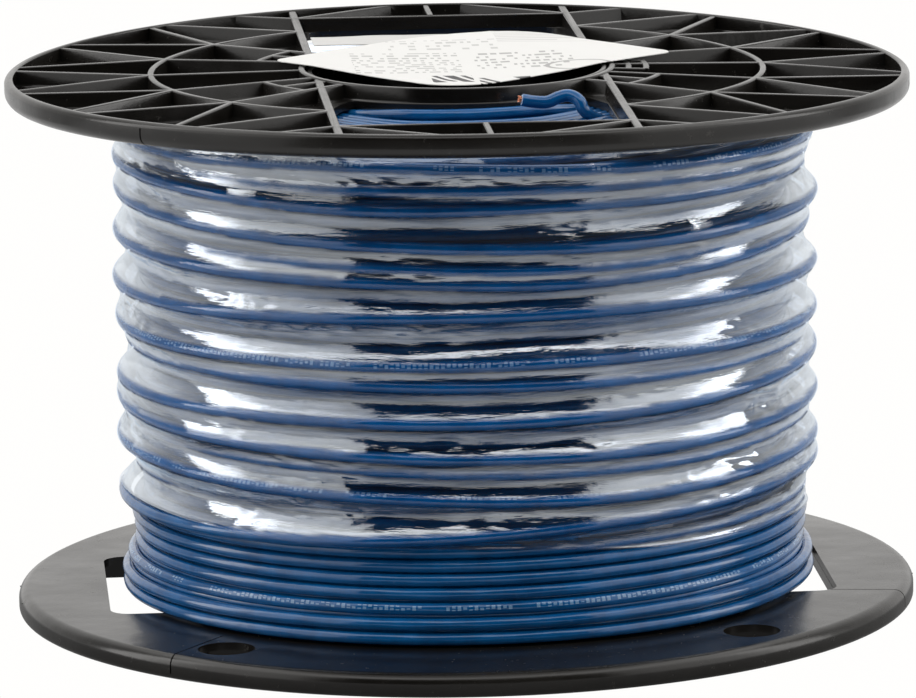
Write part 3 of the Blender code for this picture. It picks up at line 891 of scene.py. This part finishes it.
def tube(name, path, finish, radius=WIRE_R, sides=TUBE_SIDES, outward=None, end_rings=(), start_along=0.0,
         printed=()):
    """A round wire along a path, closed at both ends. end_rings are (radius, setback) pairs of a cut end,
    and printed holds the turns whose print faces outwards."""
    path = np.asarray(path, float)
    along = np.gradient(path, axis=0)
    along /= np.linalg.norm(along, axis=1, keepdims=True)
    if outward is None:
        outward = path * (1, 1, 0)
    upward = np.cross(along, outward)
    upward /= np.linalg.norm(upward, axis=1, keepdims=True)
    outward = np.cross(upward, along)
    travelled = start_along + np.append(0, np.cumsum(np.linalg.norm(np.diff(path, axis=0), axis=1)))
    radii = np.full(len(path), radius)
    drift = ink_drift(path, printed)
    cut = path[-1]
    for ring_r, setback in end_rings:
        path = np.vstack([path, cut - along[-1] * setback])
        radii = np.append(radii, ring_r)
        upward = np.vstack([upward, upward[-1]])
        outward = np.vstack([outward, outward[-1]])
        travelled = np.append(travelled, travelled[-1])
        drift = np.append(drift, drift[-1])
    around = np.arange(sides) / sides - 0.5
    turn = (around * 2 * math.pi)[None, :, None]
    offset = outward[:, None] * np.cos(turn) + upward[:, None] * np.sin(turn)
    points = (path[:, None] + offset * radii[:, None, None]).reshape(-1, 3)
    faces = grid_faces(len(path), sides, wrap_columns=True)
    faces.append(list(range(sides))[::-1])
    faces.append(list(range(len(points) - sides, len(points))))
    ink = around[None, :] + drift[:, None]
    layers = {"along": np.repeat(travelled, sides), "around": np.tile(around, len(path)), "ink": ink}
    return mesh_object(name, points, faces, [finish], 50, layers)


def packed_profile():
    """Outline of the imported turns: half-round bumps up the outside and over both ends."""
    inner_r = HUB_RING_R + GAP
    outer_r = PACKED_R
    low = WOUND_LOW + GAP + WIRE_R
    high = WOUND_HIGH - GAP - WIRE_D - 0.9
    pitch = 2.6
    rows = round((high - low) / pitch)
    columns = round((outer_r - inner_r) / pitch)
    points = []
    for k in range(columns):
        centre = inner_r + (k + 0.5) * (outer_r - inner_r) / columns
        points += arc((centre, low), 1.15, -170, -10, 5)
    for k in range(rows):
        centre = low + (k + 0.5) * (high - low) / rows
        points += arc((outer_r, centre), 1.15, -80, 80, 5)
    for k in reversed(range(columns)):
        centre = inner_r + (k + 0.5) * (outer_r - inner_r) / columns
        points += arc((centre, high), 1.15, 10, 170, 5)
    return points


def make_winding(finish):
    core_points, core_faces = lathe_grid(packed_profile(), 160)
    zeros = np.zeros(len(core_points))
    layers = {"along": zeros, "around": zeros + 0.5, "ink": zeros + 9.0}
    core = mesh_object("packed_turns", core_points, core_faces, [finish], 60, layers)
    pieces = {
        "close_turns": (close_coil(), "winding_close_turns", (2.4,)),
        "outer_turns": (outer_coil(), "winding_outer_turns", (0.48, 7.38, 12.18)),
        "crossing_turns": (crossing_coil(), "winding_outer_turns", ()),
        "under_turns": (under_coil(), "winding_packed_turns", ()),
        "end_turns": (end_coil(), "winding_end_turns", ()),
        "behind_turns": (behind_coil(close_coil()), "winding_close_turns", ()),
    }
    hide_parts("winding_packed_turns")
    made = [core]
    for number, (name, (path, stands_for, printed)) in enumerate(pieces.items()):
        piece = tube(name, path[::TUBE_STRIDE], finish, start_along=310.0 * number, printed=printed)
        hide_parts(stands_for)
        made.append(piece)
    for piece in made:
        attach(piece, "spool")
    return [path for path, _, _ in pieces.values()]


# ---------------------------------------------------------------- film

FILM_LOW = 16.0
ROW_STEP = 0.4
FILM_WALL = 0.12
FILM_CLEAR = 0.2
LOOSE_GAP = 0.06
DRAPE_STEPS = 1100
HOOP_SHARE = 0.30
FILM_FLOOR_R = 60.4
PULL = 0.30


def film_obstacle(paths, heights):
    """Radius that the film may not go below, for each column and height."""
    reach = WIRE_R + FILM_CLEAR
    obstacle = np.full((COLUMNS, len(heights)), FILM_FLOOR_R)
    for path in paths:
        radius = np.hypot(path[:, 0], path[:, 1])
        column = np.round(np.degrees(np.arctan2(path[:, 1], path[:, 0])) / STEP_DEG).astype(int) % COLUMNS
        for row, height in enumerate(heights):
            gap = height - path[:, 2]
            near = np.abs(gap) < reach
            tops = radius[near] + np.sqrt(reach**2 - gap[near] ** 2)
            np.maximum.at(obstacle[:, row], column[near], tops)
    return obstacle


def drape(obstacle, pull):
    """Draws a membrane tight over the obstacle: it curves inwards wherever nothing holds it up."""
    surface = np.maximum(obstacle, obstacle.max(axis=1, keepdims=True) - 1.0)
    surface[:, -1] = obstacle[:, -1]
    sink = (1 - HOOP_SHARE) * pull * ROW_STEP**2 / 2
    for _ in range(DRAPE_STEPS):
        above = np.concatenate([surface[:, 1:], surface[:, -1:]], axis=1)
        below = np.concatenate([surface[:, :1], surface[:, :-1]], axis=1)
        sides = np.roll(surface, 1, axis=0) + np.roll(surface, -1, axis=0)
        mean = (1 - HOOP_SHARE) * (above + below) / 2 + HOOP_SHARE * sides / 2
        surface = np.maximum(obstacle, mean - sink)
    return surface


def film_edge(angle):
    """Height of the film's lower edge, which wanders and is lower on the +x side."""
    front = np.cos(np.radians(angle + 112))
    right = np.cos(np.radians(angle + 20))
    return 21.6 + 2.6 * front - 2.2 * right + wobble(angle / 25, 6.1, 0.5)


def noise_grid(angle, heights, round_size, up_size, seed):
    """Smooth noise over the film: round_size and up_size are the sizes of its patches in millimetres."""
    turn = np.radians(angle)
    x = FILM_R * np.cos(turn) / round_size
    y = FILM_R * np.sin(turn) / round_size
    rows = []
    for i in range(len(angle)):
        rows.append([noise.noise(Vector((x[i], y[i] + seed, z / up_size))) for z in heights])
    return np.array(rows)


def wrinkles(angle, heights):
    """Fine relief of the loose film: long streaks everywhere, and short slanted creases in patches."""
    streaks = 0.13 * noise_grid(angle, heights, 14.0, 1.8, 3.0)
    streaks += 0.05 * noise_grid(angle, heights, 6.0, 0.9, 17.0)
    slant = heights[None, :] + 0.10 * FILM_R * np.radians(angle)[:, None]
    folds = noise_grid(angle, heights, 5.0, 1.3, 11.0) + 0.25 * np.sin(slant * 2.4)
    patch = np.clip(noise_grid(angle, heights, 22.0, 9.0, 29.0) * 3.0 - 0.05, 0, 1)
    return streaks + 0.28 * patch * (1 - 2 * np.abs(folds))


def make_film(paths, finishes):
    """The film as a thin closed shell whose outside is the draped membrane."""
    heights = np.arange(FILM_LOW, WOUND_HIGH, ROW_STEP)
    angle = np.arange(COLUMNS) * STEP_DEG
    obstacle = film_obstacle(paths, heights)
    obstacle[:, -1] = FILM_R - 0.3 + wobble(angle / 40, 2.7, 0.5)
    pull = PULL * (1 + 0.5 * noise_grid(angle, heights, 30.0, 12.0, 5.0))
    surface = drape(obstacle, pull)
    lift = surface - obstacle
    ragged = np.clip(1.2 + 2.2 * noise_grid(angle, heights, 3.0, 2.0, 41.0), 0.3, 3)
    loose = np.clip(lift / (LOOSE_GAP * ragged), 0, 1)
    surface = surface + np.clip(lift / 0.5, 0, 1) * wrinkles(angle, heights)

    rows = len(heights)
    share = np.linspace(0, 1, rows)
    edge = film_edge(((angle + 180) % 360) - 180)
    top = heights[-1] + 0.3 - settle(FILM_R * np.cos(np.radians(angle)))
    place = edge[:, None] + (top - edge)[:, None] * share
    radius = np.array([np.interp(place[i], heights, surface[i]) for i in range(COLUMNS)])
    loose = np.array([np.interp(place[i], heights, loose[i]) for i in range(COLUMNS)])
    radius[:, 0] += 0.25
    radius[:, 1] += 0.08
    turn = np.radians(angle)[:, None]
    shells = []
    for wall in (0.0, FILM_WALL):
        r = radius - wall
        shells.append(np.stack([r * np.cos(turn), r * np.sin(turn), place], axis=2))
    points = np.concatenate([shells[0], shells[1][:, ::-1]], axis=1)
    faces = [face[::-1] for face in grid_faces(COLUMNS, 2 * rows, True, True)]
    second = np.tile(np.arange(2 * rows) >= rows - 1, COLUMNS)
    layers = {"loose": np.concatenate([loose, loose[:, ::-1]], axis=1)}
    film = mesh_object("film", points.reshape(-1, 3), faces, finishes, 180, layers, second)
    place_piece(film, "spool", "film_wrap")


# ---------------------------------------------------------------- labels

LABEL_SIZE = (60.5, 51.0)
LABEL_TURN = 41
LABEL_CORNER_R = 3.0
LABEL_FRONT_R = 10.0
PAPER_T = 0.14
BACKING_SIZE = (36.0, 14.0)


def sheet(name, u_marks, v_marks, place, finish):
    """A thin closed sheet over a grid of (u, v) marks; place(u, v) gives its underside in millimetres."""
    grid = np.array([[place(u, v) for v in v_marks] for u in u_marks])
    rows, columns = grid.shape[:2]
    low = grid.reshape(-1, 3)
    high = low + (0, 0, PAPER_T)
    faces = grid_faces(rows, columns)
    faces += [[k + rows * columns for k in face[::-1]] for face in grid_faces(rows, columns)]
    rim = [i * columns for i in range(rows)]
    rim += [(rows - 1) * columns + j for j in range(1, columns)]
    rim += [i * columns + columns - 1 for i in reversed(range(rows - 1))]
    rim += [j for j in reversed(range(1, columns - 1))]
    above = rows * columns
    faces += [[a, b, b + above, a + above] for a, b in zip(rim, rim[1:] + rim[:1])]
    u, v = [c.ravel() for c in np.meshgrid(u_marks, v_marks, indexing="ij")]
    layers = {"u": np.tile(u, 2), "v": np.tile(v, 2)}
    made = mesh_object(name, np.vstack([low, high]), faces, [finish], 50, layers)
    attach(made, "spool")
    return made


def round_corner(u, v):
    """Moves a point of the label's corner onto the rounded corner; the front one is the roundest."""
    radius = LABEL_FRONT_R if u < 0 and v < 0 else LABEL_CORNER_R
    straight_u = LABEL_SIZE[0] / 2 - radius
    straight_v = LABEL_SIZE[1] / 2 - radius
    du = abs(u) - straight_u
    dv = abs(v) - straight_v
    if min(du, dv) <= 0:
        return u, v
    squeeze = max(du, dv) / math.hypot(du, dv)
    return math.copysign(straight_u + du * squeeze, u), math.copysign(straight_v + dv * squeeze, v)


def label_place(u, v):
    """The label lies on the hub ring and the ribs, sags into the bore and droops over the rear window."""
    centre = (LABEL_LOW + LABEL_HIGH) / 2
    turned = Matrix.Rotation(math.radians(LABEL_TURN), 2) @ Vector(round_corner(u, v))
    x = centre[0] + turned.x
    y = centre[1] + turned.y - 2.0
    inside = max(0.0, 1 - (math.hypot(x, y) / BORE_R) ** 2)
    beyond = max(0.0, y - HUB_RING_R)
    front = max(0.0, -y - 4.0)
    curl = 1.1 * max(0.0, 2 * u / LABEL_SIZE[0]) ** 2 * max(0.0, 2 * v / LABEL_SIZE[1])
    ripple = 0.25 * noise.noise(Vector((x / 14, y / 14, 2.0)))
    height = SPOOL_H + 0.2 - 0.8 * inside - 0.006 * beyond**2 - 0.022 * front + curl + ripple * inside
    return (x, y, height - settle(x))


def backing_place(u, v):
    """The second sheet lies under the label's rear left side and droops into the window there."""
    low, high = node_box("label_backing")
    x = (low[0] + high[0]) / 2 + u
    y = (low[1] + high[1]) / 2 + v
    beyond = max(0.0, y - HUB_RING_R)
    ripple = 0.15 * noise.noise(Vector((x / 9, y / 9, 7.0)))
    return (x, y, SPOOL_H + 0.1 - 0.03 * beyond - settle(x) + ripple)


def make_labels(finish, backing_finish):
    marks = [np.linspace(-size / 2, size / 2, 57) for size in LABEL_SIZE]
    label = sheet("label_sheet", *marks, label_place, finish)
    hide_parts("label")
    back_marks = [np.linspace(-size / 2, size / 2, 30) for size in BACKING_SIZE]
    back = sheet("backing_sheet", *back_marks, backing_place, backing_finish)
    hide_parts("label_backing")


# ---------------------------------------------------------------- free start of the wire

TAIL_SHIFT = (-0.8, 0.0, -0.2)
TAIL_MARKS = (
    (5.6, 3.6, -3.6),
    (3.6, 1.6, -2.6),
    (1.4, 0.2, -1.4),
    (0.0, 0.0, 0.0),
    (-0.5, 0.3, 1.2),
    (-1.5, 1.0, 2.1),
    (-2.9, 1.5, 2.45),
    (-4.6, 1.4, 2.1),
    (-6.6, 1.0, 1.4),
    (-8.9, 0.7, 1.5),
    (-11.6, 0.4, 2.0),
)
JACKET_WALL = 0.11
INSULATION_WALL = 0.26
STRAND_R = 0.14
STRAND_PITCH = 0.297
STRAND_STEPS = 9
STRAND_BURIED = 1.9
STRAND_LAY = 14


def tail_curve():
    """Dense points of the smooth curve through TAIL_MARKS."""
    marks = [TAIL_ROOT + Vector(mark) + Vector(TAIL_SHIFT) for mark in TAIL_MARKS]
    marks = [2 * marks[0] - marks[1], *marks, 2 * marks[-1] - marks[-2]]
    points = []
    for a, b, c, d in zip(marks, marks[1:], marks[2:], marks[3:]):
        for k in range(8):
            t = k / 8
            bend = (2 * a - 5 * b + 4 * c - d) * t + (3 * b - a - 3 * c + d) * t * t
            points.append(b + ((c - a) + bend) * t / 2)
    points.append(marks[-2])
    return np.array(points)


def make_tail(nylon, insulation_finish, copper):
    """The jacket bends at the hinge; the insulation and strands show at its cut end."""
    curve = tail_curve()
    inner_r = WIRE_R - JACKET_WALL
    side = np.tile((0.0, -1.0, 0.25), (len(curve), 1))
    jacket = tube("tail_jacket_skin", curve, nylon, outward=side, sides=20, start_along=40.0,
                  end_rings=((inner_r, -0.02), (inner_r, 1.4)))
    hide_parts("tail_jacket")
    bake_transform(jacket)

    end = curve[-14:]
    core_r = inner_r - 0.05
    wall_r = core_r - INSULATION_WALL
    core = tube("tail_insulation_core", end, insulation_finish, radius=core_r, sides=20,
                outward=side[-14:], end_rings=((wall_r, -0.12), (wall_r, 1.2)))
    place_piece(core, "start_tail", "tail_insulation")

    make_strands(curve, copper)


def make_strands(curve, copper):
    """The bare strands in the cut end: one in the middle, then rings of six and twelve."""
    along = (curve[-1] - curve[-4]) / np.linalg.norm(curve[-1] - curve[-4])
    across = np.cross(along, (0.0, 1.0, 0.0))
    across /= np.linalg.norm(across)
    up = np.cross(across, along)
    places = [(0, 0)] + [(1, 60 * k) for k in range(6)]
    places += [(math.sqrt(3) if k % 2 else 2, 30 * k) for k in range(12)]
    for number, (rank, angle) in enumerate(places, start=1):
        offset = polar(rank * STRAND_PITCH, angle)
        splay = 0.10 * rank * noise.noise(Vector((number * 1.7, 0.5, 0.5)))
        proud = 0.55 + 0.5 * noise.noise(Vector((number * 2.3, 4.5, 0.5)))
        path = []
        for k in range(STRAND_STEPS):
            reach = -STRAND_BURIED + (STRAND_BURIED + proud) * k / (STRAND_STEPS - 1)
            spread_out = 1 + splay * max(0.0, reach)
            twist = polar(1.0, STRAND_LAY * reach)
            x = offset.x * twist.x - offset.y * twist.y
            y = offset.x * twist.y + offset.y * twist.x
            path.append(curve[-1] + along * reach + (across * x + up * y) * spread_out)
        name = f"copper_strand_{number:02d}"
        strand = tube("bare_" + name, path, copper, radius=STRAND_R, sides=9,
                      outward=np.tile(across, (STRAND_STEPS, 1)), end_rings=((STRAND_R * 0.6, -0.05),))
        place_piece(strand, "start_tail", name)


# ---------------------------------------------------------------- stage

FLOOR_SIZE = 9.0
DARK_CARD_DEG = 39
LAMP_EDGE_DEG = 104
LAMP_POWER = 4.0
TOP_LAMP_POWER = 2.3


def room_round(tree, direction):
    """Brightness of the room by how far a direction is from the camera's side: dark behind the camera,
    soft boxes at both sides."""
    turn = math.radians(CAMERA_TURN)
    front = (math.sin(turn), -math.cos(turn), 0.0)
    parts = node(tree, "SeparateXYZ", {0: direction}).outputs
    level = node(tree, "CombineXYZ", {0: parts[0], 1: parts[1]}).outputs[0]
    flat = node(tree, "VectorMath", {0: level}, operation="NORMALIZE").outputs[0]
    facing = node(tree, "VectorMath", {0: flat, 1: front}, operation="DOT_PRODUCT").outputs["Value"]
    away = maths(tree, "DIVIDE", maths(tree, "ARCCOSINE", facing), math.pi)
    ramp = node(tree, "ValToRGB", {0: away})
    stops = (
        (0, 0.01), (DARK_CARD_DEG - 1, 0.01), (DARK_CARD_DEG + 1, 1.2), (58, 1.5),
        (78, 0.42 * LAMP_POWER), (LAMP_EDGE_DEG - 12, LAMP_POWER), (LAMP_EDGE_DEG, LAMP_POWER),
        (LAMP_EDGE_DEG + 1, 0.45), (130, 0.75), (142, 1.0), (180, 1.0),
    )
    bar = ramp.color_ramp
    while len(bar.elements) < len(stops):
        bar.elements.new(0.5)
    for element, (degrees, value) in zip(bar.elements, stops):
        element.position = degrees / 180
        share = value / LAMP_POWER
        element.color = (share, share, share, 1)
    return times(tree, ramp.outputs[0], LAMP_POWER)


def make_world():
    """White to the camera, and a photographer's room to everything else."""
    world = bpy.data.worlds.new("studio")
    world.use_nodes = True
    tree = world.node_tree
    tree.nodes.clear()
    direction = node(tree, "TexCoord").outputs["Generated"]
    height = node(tree, "SeparateXYZ", {0: direction}).outputs[2]
    overhead = spread(tree, height, 0.0, 1.0, 0.70, 0.76)
    lamp = spread(tree, height, TOP_LAMP_POWER, 0.8, 0.90, 0.93)
    round_it = room_round(tree, direction)
    level = node(tree, "Mix", {0: overhead, 2: round_it, 3: lamp}, data_type="FLOAT").outputs[0]
    is_camera = node(tree, "LightPath").outputs["Is Camera Ray"]
    room = node(tree, "Background", {"Color": (1.0, 0.985, 0.965, 1), "Strength": level})
    white = node(tree, "Background", {"Color": (1, 1, 1, 1), "Strength": 1.0})
    mixed = node(tree, "MixShader", {0: is_camera, 1: room.outputs[0], 2: white.outputs[0]})
    output = node(tree, "OutputWorld")
    tree.links.new(mixed.outputs[0], output.inputs["Surface"])
    bpy.context.scene.world = world


def make_floor():
    """A pale board that the camera sees white. To everything else it glows with painted light copied from
    the room round it, with painted shade near the spool and darker far in front of it.
    """
    made, tree, output, place = new_tree("pale_floor_painted_glow")
    shade = spread(tree, blotches(tree, place, 20.0), 0.80, 0.86)
    away = node(tree, "VectorMath", {0: place}, operation="LENGTH").outputs["Value"]
    # painted contact shade: the glow is dimmed to 0.35 within 0.09 m of the axis, under the flanges'
    # overhang
    near = spread(tree, away, 0.35, 1.0, 0.09, 0.15)
    far = spread(tree, away, 1.0, 0.12, 0.34, 0.50)
    sides = maths(tree, "MINIMUM", room_round(tree, place), 1.0)
    # painted floor light: the glow stands in for the light the floor would receive from the room, and is
    # dimmed far in front where the room is dark
    painted_floor_glow = times(tree, times(tree, maths(tree, "MAXIMUM", sides, far), near), shade)
    is_camera = node(tree, "LightPath").outputs["Is Camera Ray"]
    level = node(tree, "Mix", {0: is_camera, 2: painted_floor_glow, 3: 1.0}, data_type="FLOAT").outputs[0]
    glow = node(tree, "Emission", {"Color": (1, 0.995, 0.985, 1), "Strength": level})
    tree.links.new(glow.outputs[0], output.inputs["Surface"])
    half = FLOOR_SIZE / 2 / MM
    corners = [(-half, -half, 0), (half, -half, 0), (half, half, 0), (-half, half, 0)]
    mesh_object("floor", corners, [[0, 1, 2, 3]], [made])


def make_camera():
    turn = math.radians(CAMERA_TURN)
    rise = math.radians(CAMERA_RISE)
    away = Vector((math.sin(turn) * math.cos(rise), -math.cos(turn) * math.cos(rise), math.sin(rise)))
    right = Vector((math.cos(turn), math.sin(turn), 0))
    up = away.cross(right)
    roll = math.radians(CAMERA_ROLL)
    x_axis = right * math.cos(roll) + up * math.sin(roll)
    y_axis = up * math.cos(roll) - right * math.sin(roll)
    place = Matrix((x_axis, y_axis, away)).transposed().to_4x4()
    place.translation = (Vector(CAMERA_TARGET) + away * CAMERA_REACH) * MM
    lens = bpy.data.cameras.new("camera")
    lens.lens = CAMERA_LENS
    lens.clip_start = 0.01
    lens.clip_end = 50
    camera = bpy.data.objects.new("camera", lens)
    camera.matrix_world = place
    bpy.context.scene.collection.objects.link(camera)
    bpy.context.scene.camera = camera


def main():
    plastic = black_plastic()
    nylon = blue_nylon()
    make_flanges(plastic)
    make_barrel(plastic)
    paths = make_winding(nylon)
    make_film(paths[:4], [clear_film(), film_back()])
    make_labels(white_paper("label_paper", 0.66, True), white_paper("backing_paper", 0.52, False))
    make_tail(nylon, blue_insulation(), bare_copper())
    make_floor()
    make_world()
    make_camera()
    bpy.context.scene.view_settings.view_transform = "Standard"


main()
